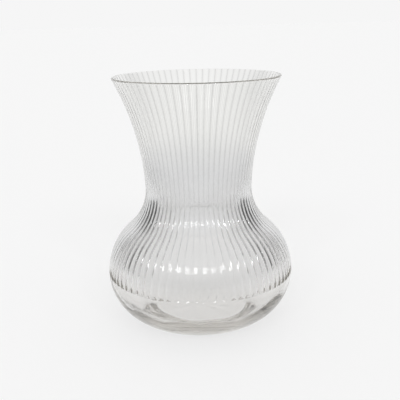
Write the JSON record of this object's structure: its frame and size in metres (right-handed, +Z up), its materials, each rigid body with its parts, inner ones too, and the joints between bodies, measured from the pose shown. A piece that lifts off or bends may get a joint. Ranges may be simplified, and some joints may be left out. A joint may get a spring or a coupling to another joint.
{
  "type": "flared vase",
  "caption": "Round clear glass vase with a bulbous bowl, narrow neck and wide flaring mouth, ribbed lengthwise above a plain thick base, for a bunch of cut flowers.",
  "frame": {"origin": "centre of the flat underside, on the surface the vase stands on", "axes": "+Z up along the vase's axis, from base to mouth; X and Y level, the vase being round"},
  "size_m": [0.1864, 0.1864, 0.25],
  "materials": {
    "clear_glass": "clear colourless glass, fire-polished, smooth"
  },
  "bodies": {
    "root": {"vase_body": "clear_glass"}
  },
  "joints": []
}
